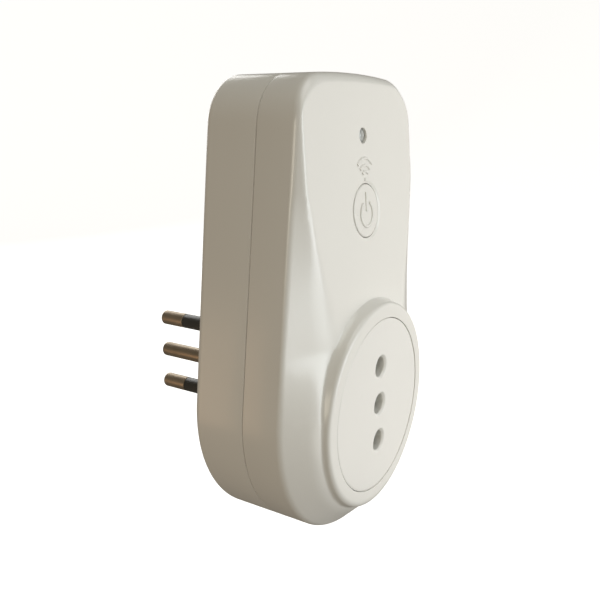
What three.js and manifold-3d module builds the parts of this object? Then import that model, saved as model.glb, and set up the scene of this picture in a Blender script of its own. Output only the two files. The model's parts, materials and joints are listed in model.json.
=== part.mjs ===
// Smart plug: a two-part housing with a three-pin 10 A plug behind and the matching socket in front.
// Millimetres, +Z up. The origin is on the plug's end face, on the axis of the earth pin.
// The pins point along +Y and the front of the housing faces -Y.
import * as THREE from 'three';
import { mergeVertices } from 'three/addons/utils/BufferGeometryUtils.js';
import Module from 'manifold-3d';

const wasm = await Module();
wasm.setup();

// ---------------------------------------------------------------- driving dimensions

const GAP = 0.3;                  // clearance between neighbouring pieces
const WALL = 2.2;                 // housing wall
const LIP_INSET = 1.1;            // the front cover's lip sits in a rebate this far inside

// Three-pin plug and socket: round pins in a line, upper pin live, middle pin earth.
const PIN_PITCH = 9.5;
const PIN_R = 2;
const PIN_LENGTH = 19;
const SLEEVE_LENGTH = 11;

// Housing outline, seen from the front: a round foot, tapering sides, round top corners.
const FOOT_R = 33.1;
const FOOT_Z = -0.3;
const SIDE_TAPER = 0.098;         // sideways lean per millimetre of height
const TOP_Z = 75.5;
const CORNER_R = 11.5;
const CROWN_R = 240;              // the top edge is slightly arched

// Depths of the housing, from the plug's end face towards the front.
const REAR_Y = -19.2;
const SEAM_Y = -33;
const EDGE_Y = -42.4;             // where the side walls meet the front face
const REAR_FILLET = 2;
const EDGE_FILLET = 1.4;
const TOP_FILLET = 2.8;

// Front face: a tongue that leans forward on its way down to the socket collar.
const TONGUE_SLOPE = 0.087;
const TONGUE_MAX = 4.6;
const CREASE_TOP_Z = 60;          // where the side facets start
const CREASE_SPREAD = 0.31;       // facet width gained per millimetre downwards

// Socket collar and insert.
const SOCKET_Z = -1.9;
const COLLAR_FOOT_R = 25.8;
const COLLAR_FACE_Y = -50.35;
const INSERT_R = 21.2;
const INSERT_FACE_Y = -50.05;
const INSERT_BACK_Y = -47.65;
const LEDGE_R = 20;
const SOCKET_HOLE_R = 2.5;

// Controls on the tongue.
const BUTTON_Z = 44.8;
const BUTTON_RIM_R = 7.1;         // the bevel round the button's hole
const BUTTON_HOLE_R = 6.3;
const BUTTON_R = BUTTON_HOLE_R - GAP;
const LED_Z = 61.8;
const LED_HOLE_R = 2;

// Inner planes.
const REAR_INNER_Y = REAR_Y - 2.4;
const MAIN_BOARD = { back: -24.6, front: -26.2, xHalf: 22, bottom: 24, top: 62 };
const CONTROL_BOARD = { back: -33.6, front: -34.8, xHalf: 11.5, bottom: 39, top: 68.5 };
const ON_MAIN = MAIN_BOARD.front - GAP;
const ON_CONTROL = CONTROL_BOARD.front - GAP;

// Screw places: [x, z], and the bosses and holes round them.
const HOUSING_SCREWS = [[-18, 67], [18, 67], [-19.5, -19.5], [19.5, -19.5]];
const BOARD_SCREWS = [[-19.5, 27.5], [19.5, 27.5], [0, 59]];
const CONTROL_SCREWS = [[-8.7, 65.6], [8.7, 65.6]];
const PIN_CARRIER_SCREWS = [[0, 16.2], [0, -16.2]];
const CONTACT_SCREWS = [[0, SOCKET_Z + 15.8], [0, SOCKET_Z - 15.8]];
const HOUSING_BOSS = { rearR: 4, frontR: 3.2, clearR: 1.8, pilotR: 1.7, recessR: 3, seatY: -24.5 };
const BOARD_BOSS = { r: 2.6, pilotR: 1.3 };
const CONTROL_BOSS = { r: 2.3, pilotR: 1.2 };
const CONTACT_BOSS = { r: 2.3, pilotR: 1.3 };
const BOARD_HOLE_R = 1.4;

const PINS = { line: PIN_PITCH, earth: 0, neutral: -PIN_PITCH };

// The plug's nose, as [half width, half height, depth], and the bore that holds the pin carrier.
const NOSE = [[7.4, 15, 0], [8.2, 15.8, -0.8], [9.4, 17.6, -14], [12.5, 22, REAR_Y - 1]];
const NOSE_BORE = [5.9, 13.5];
const PIN_HOLE_R = PIN_R + GAP;

// A blank label in a shallow recess of the back.
const LABEL = { xHalf: 15, bottom: 32, top: 56, recess: 0.6, margin: 0.4 };

const ROUND_SIDES = 40;           // facets round the socket's insert and collar
const SCREW_SIDES = 10;

// ---------------------------------------------------------------- solids

// Turns a closed geometry into a solid that can be joined and cut.
function solid(geometry) {
  geometry.deleteAttribute('normal');
  geometry.deleteAttribute('uv');
  const merged = mergeVertices(geometry);
  const points = merged.attributes.position.array;
  const corners = merged.index.array;
  const triangles = [];
  let volume = 0;
  for (let i = 0; i < corners.length; i += 3) {
    const [a, b, c] = [corners[i], corners[i + 1], corners[i + 2]];
    if (a === b || b === c || c === a) continue;
    triangles.push(a, b, c);
    const [p, q, r] = [a, b, c].map((k) => new THREE.Vector3().fromArray(points, 3 * k));
    volume += p.dot(q.cross(r));
  }
  if (volume < 0) triangles.reverse();
  return new wasm.Manifold(new wasm.Mesh({
    numProp: 3, vertProperties: Float32Array.from(points), triVerts: Uint32Array.from(triangles),
  }));
}

const join = (...solids) => solids.reduce((sum, piece) => sum.add(piece));
const cut = (body, ...tools) => tools.reduce((rest, tool) => rest.subtract(tool), body);

function box(x0, x1, y0, y1, z0, z1) {
  const geometry = new THREE.BoxGeometry(Math.abs(x1 - x0), Math.abs(y1 - y0), Math.abs(z1 - z0));
  return solid(geometry.translate((x0 + x1) / 2, (y0 + y1) / 2, (z0 + z1) / 2));
}

// A round bar along Y from one depth to another, with its own radius at each end.
function cone(x, z, r0, r1, y0, y1, sides = 24) {
  const [upper, lower] = y0 > y1 ? [r0, r1] : [r1, r0];
  const geometry = new THREE.CylinderGeometry(upper, lower, Math.abs(y0 - y1), sides);
  return solid(geometry.translate(x, (y0 + y1) / 2, z));
}

const rod = (x, z, r, y0, y1, sides = 24) => cone(x, z, r, r, y0, y1, sides);

// A round bar along X or Z.
function barX(y, z, r, x0, x1, sides = 16) {
  const geometry = new THREE.CylinderGeometry(r, r, x1 - x0, sides).rotateZ(Math.PI / 2);
  return solid(geometry.translate((x0 + x1) / 2, y, z));
}
function barZ(x, y, r, z0, z1, sides = 16) {
  const geometry = new THREE.CylinderGeometry(r, r, z1 - z0, sides).rotateX(Math.PI / 2);
  return solid(geometry.translate(x, y, (z0 + z1) / 2));
}

// A profile of [radius, y] points turned about an axis along Y.
function turned(x, z, profile, sides) {
  const points = profile.map(([r, y]) => new THREE.Vector2(r, y));
  return solid(new THREE.LatheGeometry(points, sides).translate(x, 0, z));
}

const meanPoint = (ring) => [0, 1, 2].map((k) => ring.reduce((sum, p) => sum + p[k], 0) / ring.length);

// A closed solid through rings of [x, y, z] points, each with the same count.
function loft(rings, lastMiddle = meanPoint(rings.at(-1))) {
  const count = rings[0].length;
  const points = rings.flat();
  const index = [];
  for (let ring = 0; ring + 1 < rings.length; ring += 1) {
    for (let i = 0; i < count; i += 1) {
      const a = ring * count + i;
      const b = ring * count + (i + 1) % count;
      index.push(a, b, b + count, a, b + count, a + count);
    }
  }
  const first = points.push(meanPoint(rings[0])) - 1;
  const last = points.push(lastMiddle) - 1;
  const lastStart = (rings.length - 1) * count;
  for (let i = 0; i < count; i += 1) {
    const next = (i + 1) % count;
    index.push(first, next, i, last, lastStart + i, lastStart + next);
  }
  const geometry = new THREE.BufferGeometry();
  geometry.setAttribute('position', new THREE.Float32BufferAttribute(points.flat(), 3));
  return solid(geometry.setIndex(index));
}

// An oblong with round ends, upright, as a list of [x, z].
function oblong(halfWidth, halfHeight, steps = 8) {
  const points = [];
  for (const end of [1, -1]) {
    for (let i = 0; i <= steps; i += 1) {
      const angle = Math.PI * (i / steps) + (end > 0 ? 0 : Math.PI);
      const z = end * (halfHeight - halfWidth) + halfWidth * Math.sin(angle);
      points.push([halfWidth * Math.cos(angle), z]);
    }
  }
  return points;
}

const atDepth = (outline, y) => outline.map(([x, z]) => [x, y, z]);

// A round wire of the given radius through a few points.
function tubeAlong(points, radius, steps, sides = 6) {
  const curve = new THREE.CatmullRomCurve3(points.map((p) => new THREE.Vector3(...p)));
  const section = new THREE.Shape();
  for (let i = 0; i < sides; i += 1) {
    const angle = (2 * Math.PI * i) / sides;
    const [u, v] = [radius * Math.cos(angle), radius * Math.sin(angle)];
    if (i === 0) section.moveTo(u, v);
    else section.lineTo(u, v);
  }
  section.closePath();
  return solid(new THREE.ExtrudeGeometry(section, { steps, extrudePath: curve }));
}

// ---------------------------------------------------------------- housing outline and front face

const LEAN = Math.atan(SIDE_TAPER);

// The centre of the upper right corner's arc, tangent to the side line and to the crown.
function cornerCentre() {
  const [s, c] = [Math.sin(LEAN), Math.cos(LEAN)];
  const p = FOOT_R - CORNER_R;
  const q = CROWN_R - CORNER_R;
  const k = FOOT_Z - (TOP_Z - CROWN_R);
  const a = (s / c) ** 2 + 1;
  const b = (-2 * p * s) / c ** 2 + 2 * k;
  const d = (p / c) ** 2 + k ** 2 - q ** 2;
  const u = (-b + Math.sqrt(b * b - 4 * a * d)) / (2 * a);
  return { x: (p - u * s) / c, z: FOOT_Z + u };
}
const CORNER = cornerCentre();
const CROWN_ANGLE = Math.atan2(CORNER.z - (TOP_Z - CROWN_R), CORNER.x);

const FOOT_STEPS = 10;
const SIDE_STEPS = 7;
const CORNER_STEPS = 4;
const CROWN_STEPS = 2;

// The right half of the outline, from the foot's lowest point to the middle of the top edge.
function halfOutline(inset) {
  const points = [];
  const arc = (cx, cz, r, from, to, steps, skip) => {
    for (let i = skip; i <= steps; i += 1) {
      const angle = from + ((to - from) * i) / steps;
      points.push([cx + r * Math.cos(angle), cz + r * Math.sin(angle)]);
    }
  };
  arc(0, FOOT_Z, FOOT_R - inset, -Math.PI / 2, LEAN, FOOT_STEPS, 0);
  const [x0, z0] = points.at(-1);
  const x1 = CORNER.x + (CORNER_R - inset) * Math.cos(LEAN);
  const z1 = CORNER.z + (CORNER_R - inset) * Math.sin(LEAN);
  for (let i = 1; i < SIDE_STEPS; i += 1) {
    const t = i / SIDE_STEPS;
    points.push([x0 + (x1 - x0) * t, z0 + (z1 - z0) * t]);
  }
  arc(CORNER.x, CORNER.z, CORNER_R - inset, LEAN, CROWN_ANGLE, CORNER_STEPS, 0);
  arc(0, TOP_Z - CROWN_R, CROWN_R - inset, CROWN_ANGLE, Math.PI / 2, CROWN_STEPS, 1);
  return points;
}

// Both halves of a point list that starts and ends on the middle line.
const mirrored = (half) => [...half, ...half.slice(1, -1).reverse().map(([x, ...rest]) => [-x, ...rest])];
const outline = (inset) => mirrored(halfOutline(inset));

// How far the tongue stands in front of the side walls' edge at a height.
const tongueRise = (z) => Math.min(TONGUE_SLOPE * (TOP_Z - z), TONGUE_MAX);
const tongueY = (z) => EDGE_Y - tongueRise(z);
const TONGUE_END_Z = TOP_Z - TONGUE_MAX / TONGUE_SLOPE;

// Where the front face stops sloping: on the collar's foot below, on the crease above it.
function plateauHalf(extra) {
  const edge = halfOutline(0);
  return edge.map(([x, z], i) => {
    if (i <= FOOT_STEPS) {
      const angle = -Math.PI / 2 + ((LEAN + Math.PI / 2) * i) / FOOT_STEPS;
      const r = COLLAR_FOOT_R - extra;
      return [r * Math.cos(angle), SOCKET_Z + r * Math.sin(angle)];
    }
    if (i < FOOT_STEPS + SIDE_STEPS) {
      const crease = x - Math.max(CREASE_SPREAD * (CREASE_TOP_Z - z), EDGE_FILLET + 0.8) - extra;
      const reach = (COLLAR_FOOT_R - extra) ** 2 - (z - SOCKET_Z) ** 2;
      return [Math.max(crease, Math.sqrt(Math.max(reach, 0))), z];
    }
    return halfOutline(TOP_FILLET + 0.8 + extra)[i];
  });
}

// Rings of the front face, from the side walls' edge inwards.
function edgeRings() {
  const edge = halfOutline(0);
  const plateau = plateauHalf(0);
  const atShare = (i, inset) => {
    const [x, z] = edge[i];
    const [px, pz] = plateau[i];
    const share = inset / Math.hypot(px - x, pz - z);
    return [x + (px - x) * share, z + (pz - z) * share, share];
  };
  const fillet = edge.map(([, z]) => (z > CREASE_TOP_Z ? TOP_FILLET : EDGE_FILLET));
  const start = edge.map(([x, z], i) => [x, EDGE_Y + fillet[i], z]);
  const middle = edge.map((_, i) => {
    const [x, z] = atShare(i, 0.3 * fillet[i]);
    return [x, EDGE_Y + 0.28 * fillet[i], z];
  });
  const end = edge.map((_, i) => {
    const [x, z, share] = atShare(i, fillet[i]);
    return [x, EDGE_Y - 0.85 * share * tongueRise(plateau[i][1]), z];
  });
  const flat = plateau.map(([x, z]) => [x, tongueY(z), z]);
  return [start, middle, end, flat].map(mirrored);
}

// A round bar square to the leaning tongue, between two depths below its surface.
function leanedCone(z, r0, r1, depth0, depth1, sides) {
  const geometry = new THREE.CylinderGeometry(r0, r1, depth0 - depth1, sides);
  geometry.translate(0, (depth0 + depth1) / 2, 0).rotateX(-Math.atan(TONGUE_SLOPE));
  return solid(geometry.translate(0, tongueY(z), z));
}

function frontBody(yBack) {
  const middle = [0, tongueY(TONGUE_END_Z), TONGUE_END_Z];
  return loft([atDepth(outline(0), yBack), ...edgeRings()], middle);
}

// ---------------------------------------------------------------- housing

function rearCover() {
  const seam = SEAM_Y + GAP / 2;
  const shell = loft([
    atDepth(outline(REAR_FILLET), REAR_Y),
    atDepth(outline(0.3 * REAR_FILLET), REAR_Y - 0.3 * REAR_FILLET),
    atDepth(outline(0), REAR_Y - REAR_FILLET),
    atDepth(outline(0), seam),
  ]);
  const nose = loft(NOSE.map(([halfWidth, halfHeight, y]) => atDepth(oblong(halfWidth, halfHeight), y)));
  const cavity = loft([
    atDepth(outline(WALL + 0.8), REAR_INNER_Y),
    atDepth(outline(WALL), REAR_INNER_Y - 0.8),
    atDepth(outline(WALL), seam - 1),
  ]);
  const rebate = cut(
    loft([atDepth(outline(LIP_INSET), seam + 1.6), atDepth(outline(LIP_INSET), seam - 1)]),
    loft([atDepth(outline(WALL + GAP), seam + 2), atDepth(outline(WALL + GAP), seam - 2)]),
  );
  const noseBore = loft([-WALL, REAR_INNER_Y - 1].map((y) => atDepth(oblong(...NOSE_BORE), y)));
  let body = cut(join(shell, nose), cavity);
  const { rearR, clearR, recessR, seatY } = HOUSING_BOSS;
  for (const [x, z] of HOUSING_SCREWS) body = body.add(rod(x, z, rearR, REAR_INNER_Y + 1, seam + 0.25, 14));
  for (const [x, z] of BOARD_SCREWS) {
    body = body.add(rod(x, z, BOARD_BOSS.r, REAR_INNER_Y + 1, MAIN_BOARD.back + GAP, 10));
  }
  body = cut(body, noseBore, rebate);
  for (const z of Object.values(PINS)) body = body.subtract(rod(0, z, PIN_HOLE_R, 1, -WALL - 1, 16));
  for (const [x, z] of HOUSING_SCREWS) {
    body = cut(body, rod(x, z, recessR, REAR_Y + 1, seatY, 16), rod(x, z, clearR, seatY + 0.5, seam - 1, 10));
  }
  for (const [x, z] of BOARD_SCREWS) body = body.subtract(rod(x, z, BOARD_BOSS.pilotR, -21.2, -25, 8));
  for (const [x, z] of PIN_CARRIER_SCREWS) body = body.subtract(rod(x, z, 1.5, -17, -23, 8));
  const { xHalf, bottom, top, recess, margin } = LABEL;
  const side = xHalf + margin;
  return body.subtract(box(-side, side, REAR_Y - recess, REAR_Y + 1, bottom - margin, top + margin));
}

// The blank label lies on the floor of its recess, a hair clear of it.
const ratingLabel = () => box(
  -LABEL.xHalf, LABEL.xHalf, REAR_Y - 0.1, REAR_Y - LABEL.recess / 2, LABEL.bottom, LABEL.top,
);

function frontCover() {
  const seam = SEAM_Y - GAP / 2;
  const inner = plateauHalf(1.4).map(([x, z]) => [x, tongueY(z) + WALL, z]);
  const cavity = loft([
    atDepth(outline(WALL), seam + 3),
    atDepth(outline(WALL), EDGE_Y + WALL + 0.8),
    mirrored(inner),
  ], [0, tongueY(TONGUE_END_Z) + WALL, TONGUE_END_Z]);
  const lip = cut(
    loft([atDepth(outline(LIP_INSET + GAP), seam + 1.4), atDepth(outline(LIP_INSET + GAP), seam - 0.5)]),
    loft([atDepth(outline(WALL), seam + 2), atDepth(outline(WALL), seam - 2)]),
  );
  const hidden = { r: LEDGE_R - 0.5, y: -44 };
  const collar = turned(0, SOCKET_Z, [
    [hidden.r, hidden.y], [hidden.r, COLLAR_FACE_Y], [23, COLLAR_FACE_Y], [24.3, COLLAR_FACE_Y + 0.3],
    [25.2, COLLAR_FACE_Y + 1.1], [COLLAR_FOOT_R - 0.1, COLLAR_FACE_Y + 3], [COLLAR_FOOT_R, hidden.y],
    [hidden.r, hidden.y],
  ], ROUND_SIDES);
  let body = cut(frontBody(seam), cavity);
  body = join(body, lip, collar);
  HOUSING_SCREWS.forEach(([x, z]) => {
    const end = z > 0 ? -41.5 : -44.4;
    const { frontR, pilotR } = HOUSING_BOSS;
    body = cut(body.add(rod(x, z, frontR, SEAM_Y + 0.1, end, 12)), rod(x, z, pilotR, SEAM_Y + 1, -39, 8));
  });
  for (const [x, z] of CONTROL_SCREWS) {
    const { r, pilotR } = CONTROL_BOSS;
    body = cut(body.add(rod(x, z, r, ON_CONTROL, -41.7, 10)), rod(x, z, pilotR, ON_CONTROL + 1, -39.4, 8));
  }
  return cut(
    body,
    rod(0, SOCKET_Z, LEDGE_R, -40, -51, ROUND_SIDES),
    rod(0, SOCKET_Z, INSERT_R + GAP, INSERT_BACK_Y + GAP, -51, ROUND_SIDES),
    rod(0, BUTTON_Z, BUTTON_HOLE_R, -38, -48, 24),
    leanedCone(BUTTON_Z, BUTTON_HOLE_R, 2 * BUTTON_RIM_R - BUTTON_HOLE_R, 0.6, -0.6, 24),
    rod(0, LED_Z, LED_HOLE_R, -38, -46, 14),
  );
}

// A pan-head screw along Y from its head's face to its tip, with or without a crossed recess.
function screw(x, z, headR, headY, shankR, tipY, crossed) {
  const way = Math.sign(tipY - headY);
  const point = tipY - way * shankR;
  const body = join(
    rod(x, z, headR, headY, headY + way * 1.5, SCREW_SIDES),
    rod(x, z, shankR, headY + way, point, SCREW_SIDES),
    cone(x, z, shankR, 0.3 * shankR, point - way * 0.01, tipY, SCREW_SIDES),
  );
  if (!crossed) return body;
  const [reach, half] = [0.62 * headR, 0.35];
  const [floor, above] = [headY + way * 0.8, headY - way];
  return cut(
    body,
    box(x - reach, x + reach, floor, above, z - half, z + half),
    box(x - half, x + half, floor, above, z - reach, z + reach),
  );
}

// ---------------------------------------------------------------- plug

// The bare end of a pin is full size; a sleeved pin is thinner under its sleeve.
function plugPin(z, sleeved) {
  const neckR = sleeved ? PIN_R - 0.7 : PIN_R;
  const bare = sleeved ? SLEEVE_LENGTH + GAP : -2.6;
  return turned(0, z, [
    [0, -25.2], [1.2, -25.2], [1.2, -20], [1.5, -20], [1.5, -4.8], [3, -4.8], [3, -2.6],
    [neckR, -2.6], [neckR, bare], [PIN_R, bare], [PIN_R, PIN_LENGTH - 1.2],
    [PIN_R - 0.35, PIN_LENGTH - 0.55], [PIN_R - 0.9, PIN_LENGTH - 0.15], [0, PIN_LENGTH],
  ], 16);
}

const pinSleeve = (z) => turned(0, z, [
  [PIN_R - 0.4, -2.3], [PIN_R, -2.3], [PIN_R, SLEEVE_LENGTH], [PIN_R - 0.4, SLEEVE_LENGTH],
  [PIN_R - 0.4, -2.3],
], 16);

function pinCarrier() {
  const block = loft([
    atDepth(oblong(5.6, 13.2, 6), -2.5), atDepth(oblong(5.6, 13.2, 6), -23.5),
  ]);
  let body = block.add(box(-11, 11, REAR_INNER_Y - GAP, -24.2, -21, 21));
  for (const z of Object.values(PINS)) {
    body = cut(body, rod(0, z, 3.3, -2, -5.1, 12), rod(0, z, 1.8, -4, -25, 10));
  }
  for (const [x, z] of PIN_CARRIER_SCREWS) body = body.subtract(rod(x, z, 1.6, -20, -25, 8));
  return body;
}

// ---------------------------------------------------------------- socket

const SOCKET_HOLES = [PIN_PITCH, 0, -PIN_PITCH].map((dz) => SOCKET_Z + dz);
const SHUTTER_ROOM_R = 18.4;      // the insert's skirt leaves the shutter this much room

function socketInsert() {
  let body = join(
    rod(0, SOCKET_Z, INSERT_R, INSERT_BACK_Y, INSERT_FACE_Y, ROUND_SIDES),
    cut(rod(0, SOCKET_Z, LEDGE_R - GAP, -44.4, INSERT_BACK_Y - 0.5, 32),
      rod(0, SOCKET_Z, SHUTTER_ROOM_R, -44, INSERT_BACK_Y, 32)),
    ...CONTACT_SCREWS.map(([x, z]) => rod(x, z, CONTACT_BOSS.r, -45.4, INSERT_BACK_Y - 0.5, 12)),
  );
  for (const z of SOCKET_HOLES) {
    body = cut(body, rod(0, z, SOCKET_HOLE_R, -46, -51, 18),
      cone(0, z, SOCKET_HOLE_R, SOCKET_HOLE_R + 1.1, INSERT_FACE_Y + 0.5, INSERT_FACE_Y - 0.6, 18));
  }
  for (const [x, z] of CONTACT_SCREWS) body = body.subtract(rod(x, z, CONTACT_BOSS.pilotR, -45, -48.2, 8));
  return body;
}

// The shutter stands behind the three holes. A plug's pins push its sloped tongues aside together.
const SHUTTER = { back: -45.4, front: -47.35, low: -2.8, high: 3.3, end: 7.4, half: 3.2 };
const SPRING = { from: 7.7, to: 16.5, y: -44.2, r: 1.25, wire: 0.25, turns: 5 };

function shutter() {
  const { back, front, low, high, end, half } = SHUTTER;
  const section = [[low, back], [high, back], [high, front], [low, back - GAP]];
  const tongues = SOCKET_HOLES.map((z) => (
    loft([z - half, z + half].map((level) => section.map(([x, y]) => [x, y, level])))
  ));
  const bridge = box(high - 0.1, end, front, back, SOCKET_HOLES[2] - half, SOCKET_HOLES[0] + half);
  const springSeat = box(end - 1.2, end, back - 0.2, -43.4, SOCKET_Z - 1.5, SOCKET_Z + 1.5);
  return join(...tongues, bridge, springSeat);
}

function shutterSpring() {
  const { from, to, y, r, wire, turns } = SPRING;
  const points = [];
  const perTurn = 8;
  for (let i = 0; i <= turns * perTurn; i += 1) {
    const angle = (2 * Math.PI * i) / perTurn;
    const x = from + wire + ((to - from - 2 * wire) * i) / (turns * perTurn);
    points.push([x, y + r * Math.cos(angle), SOCKET_Z + r * Math.sin(angle)]);
  }
  return tubeAlong(points, wire, turns * 8, 4);
}

const CONTACT = { front: -44.8, back: -32.6, outer: 2.9, inner: 2.2, blade: -27.8 };

function socketContact(z) {
  const { front, back, outer, inner, blade } = CONTACT;
  const tube = cut(rod(0, z, outer, back, front, 14), rod(0, z, inner, back + 1, front - 1, 14));
  const slot = box(1, 4, back + 1, front - 1, z - 0.5, z + 0.5);
  return join(
    cut(tube, slot),
    box(-7.4, -2.4, back - 0.8, back, z - 1.5, z + 1.5),
    box(-7.4, -6.6, back - 0.8, blade, z - 1.5, z + 1.5),
  );
}

function contactCarrier() {
  let body = join(
    rod(0, SOCKET_Z, 17.6, -43, -45.1, 28),
    rod(0, SOCKET_Z, LEDGE_R + 2, -41.7, -43.7, 28),
    rod(0, SOCKET_Z, 19, -30.5, -42, 28),
  );
  for (const z of SOCKET_HOLES) {
    body = cut(body, rod(0, z, CONTACT.outer + GAP, -30, -46, 14),
      box(-7.8, 0, CONTACT.back - 1.2, -30, z - 1.8, z + 1.8));
  }
  for (const [x, z] of CONTACT_SCREWS) body = body.subtract(rod(x, z, 1.5, -30, -46, 8));
  const springRoom = box(SHUTTER.end - 1.5, SPRING.to + GAP, -42.5, -46, SOCKET_Z - 2, SOCKET_Z + 2);
  return body.subtract(springRoom);
}

function contactCover() {
  let body = rod(0, SOCKET_Z, 17.5, -28.4, -30.2, 28);
  for (const z of SOCKET_HOLES) body = body.subtract(box(-7.8, -6.2, -27, -31, z - 1.8, z + 1.8));
  for (const [x, z] of CONTACT_SCREWS) body = body.subtract(rod(x, z, 1.5, -27, -31, 8));
  return body;
}

// ---------------------------------------------------------------- controls

function powerButton() {
  const cap = rod(0, BUTTON_Z, BUTTON_R, -41, -48, 24).intersect(frontBody(-38));
  const flange = rod(0, BUTTON_Z, 8, -40.6, -41.5, 24);
  const stem = rod(0, BUTTON_Z, 2, -39.9, -41, 10);
  return join(cap, flange, stem);
}

const ledLens = () => turned(0, LED_Z, [
  [0, -36.9], [1.4, -36.9], [1.4, -39.6], [2.6, -39.6], [2.6, -40.5], [LED_HOLE_R - GAP, -40.5],
  [LED_HOLE_R - GAP, -42.7], [1.1, -43.1], [0, -43.2],
], 14);

const statusLed = () => turned(0, LED_Z, [
  [0, ON_CONTROL], [1.4, ON_CONTROL], [1.4, -36.1], [0.9, -36.5], [0, -36.6],
], 10);

function tactSwitch() {
  const body = box(-3, 3, ON_CONTROL, -38.6, BUTTON_Z - 3, BUTTON_Z + 3);
  return body.subtract(rod(0, BUTTON_Z, 2, -37.4, -40, 12));
}
const tactPlunger = () => rod(0, BUTTON_Z, 1.7, -38.1, -39.6, 12);

// ---------------------------------------------------------------- electronics

function board({ back, front, xHalf, bottom, top }, holes) {
  let body = box(-xHalf, xHalf, back, front, bottom, top);
  for (const [x, z, r] of holes) body = body.subtract(rod(x, z, r, back + 1, front - 1, 8));
  return body;
}

const TERMINAL = { y: -29.5, line: 8, neutral: 14, load: -8 };

function terminalBlock() {
  let body = box(-11.5, 17, ON_MAIN, -34.5, 25.5, 33);
  for (const x of [TERMINAL.line, TERMINAL.neutral, TERMINAL.load]) {
    body = cut(body, barZ(x, TERMINAL.y, 1.4, 25, 29.5, 10), rod(x, 29.6, 1.3, -33, -35, 10));
  }
  return body;
}

const varistor = () => join(
  barZ(16.8, ON_MAIN - 5.2, 4.6, 43.8, 46.8, 16), box(14.4, 19.2, ON_MAIN, -28.4, 44.9, 45.7),
);
const fuse = () => join(
  barX(-29.2, 50.4, 2.1, 12.3, 21.3, 12), box(12.9, 13.7, ON_MAIN, -28.5, 50, 50.8),
  box(19.9, 20.7, ON_MAIN, -28.5, 50, 50.8),
);
const transformer = () => join(
  box(-7, 4, ON_MAIN, -28, 34.5, 45.5), box(-5.8, 2.8, -27.9, -32, 35.9, 44.1),
  box(-7, 4, -31.9, -33, 34.5, 45.5),
);

// Insulated wires in the space between the plug's carrier and the socket's contacts.
const WIRE_R = 1;
const WIRE_Y = -26.5;
const intoTerminal = (x) => [[x, -28.6, 22.6], [x, TERMINAL.y, 25.4], [x, TERMINAL.y, 28.8]];
const WIRES = {
  line_wire: [[-1.6, WIRE_Y, PINS.line], [3, WIRE_Y, PINS.line + 0.1], [7, WIRE_Y, 12.5],
    [8, -26.9, 18], ...intoTerminal(TERMINAL.line)],
  neutral_wire: [[-8.2, WIRE_Y, SOCKET_HOLES[2]], [-4, WIRE_Y, -10.6], [0, WIRE_Y, PINS.neutral],
    [6, WIRE_Y, -7.4], [11.5, WIRE_Y, 0], [14, WIRE_Y, 10], [14, -26.9, 18],
    ...intoTerminal(TERMINAL.neutral)],
  earth_wire: [[1.6, WIRE_Y, 0], [-1, WIRE_Y, -0.1], [-5, WIRE_Y, -1.7], [-8.2, WIRE_Y, SOCKET_Z]],
  load_wire: [[-5.4, WIRE_Y, SOCKET_HOLES[0]], [-7.4, WIRE_Y, 8.2], [-8.4, WIRE_Y, 12.5],
    [-8, -26.9, 18], ...intoTerminal(TERMINAL.load)],
};

// ---------------------------------------------------------------- assembly

const FINISH = {
  shell: ['#e9e6dd', 0.28, 0],
  insert: ['#eeece6', 0.3, 0],
  button: ['#eae8e0', 0.28, 0],
  lens: ['#d9dde0', 0.15, 0],
  shutter: ['#c9ccc9', 0.45, 0],
  insulator: ['#3a3a3c', 0.6, 0],
  carrier: ['#d8d4c6', 0.55, 0],
  sleeve: ['#1b1b1c', 0.55, 0],
  nickel: ['#a39a8a', 0.3, 1],
  brass: ['#b08d4a', 0.35, 1],
  steel: ['#b9bcc0', 0.35, 1],
  board: ['#1f5b37', 0.5, 0],
  black: ['#1c1d1f', 0.45, 0],
  relay: ['#2d62a8', 0.4, 0],
  terminal: ['#3f7f4d', 0.5, 0],
  film: ['#d9b13a', 0.4, 0],
  varistor: ['#2b5fae', 0.4, 0],
  fuse: ['#c9b99a', 0.6, 0],
  can: ['#c6c8ca', 0.3, 1],
  core: ['#3b3936', 0.6, 0],
  label: ['#c9c9c6', 0.5, 0],
  live: ['#6b3d22', 0.5, 0],
  load: ['#2a2a2b', 0.5, 0],
  neutral: ['#2f59a5', 0.5, 0],
  earth: ['#4f8a3a', 0.5, 0],
};

const plug = new THREE.Group();

function add(name, finish, body) {
  const { vertProperties, triVerts } = body.getMesh();
  const geometry = new THREE.BufferGeometry();
  geometry.setAttribute('position', new THREE.BufferAttribute(vertProperties, 3));
  geometry.setIndex(new THREE.BufferAttribute(triVerts, 1));
  geometry.computeVertexNormals();
  const [color, roughness, metalness] = FINISH[finish];
  const mesh = new THREE.Mesh(geometry, new THREE.MeshStandardMaterial({ color, roughness, metalness }));
  mesh.name = name;
  plug.add(mesh);
}

function addScrews(name, places, headR, headY, shankR, tipY, crossed = false) {
  places.forEach(([x, z], i) => {
    add(`${name}_${i + 1}`, 'steel', screw(x, z, headR, headY, shankR, tipY, crossed));
  });
}

add('rear_cover', 'shell', rearCover());
add('front_cover', 'shell', frontCover());
add('socket_insert', 'insert', socketInsert());
add('power_button', 'button', powerButton());
add('led_lens', 'lens', ledLens());
add('rating_label', 'label', ratingLabel());
addScrews('housing_screw', HOUSING_SCREWS, 2.7, -22.7, 1.35, -38, true);

add('line_pin', 'nickel', plugPin(PINS.line, true));
add('neutral_pin', 'nickel', plugPin(PINS.neutral, true));
add('earth_pin', 'nickel', plugPin(PINS.earth, false));
add('line_pin_sleeve', 'sleeve', pinSleeve(PINS.line));
add('neutral_pin_sleeve', 'sleeve', pinSleeve(PINS.neutral));
add('pin_carrier', 'insulator', pinCarrier());
addScrews('pin_carrier_screw', PIN_CARRIER_SCREWS, 2.3, -26, 1.1, -17.4);

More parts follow.
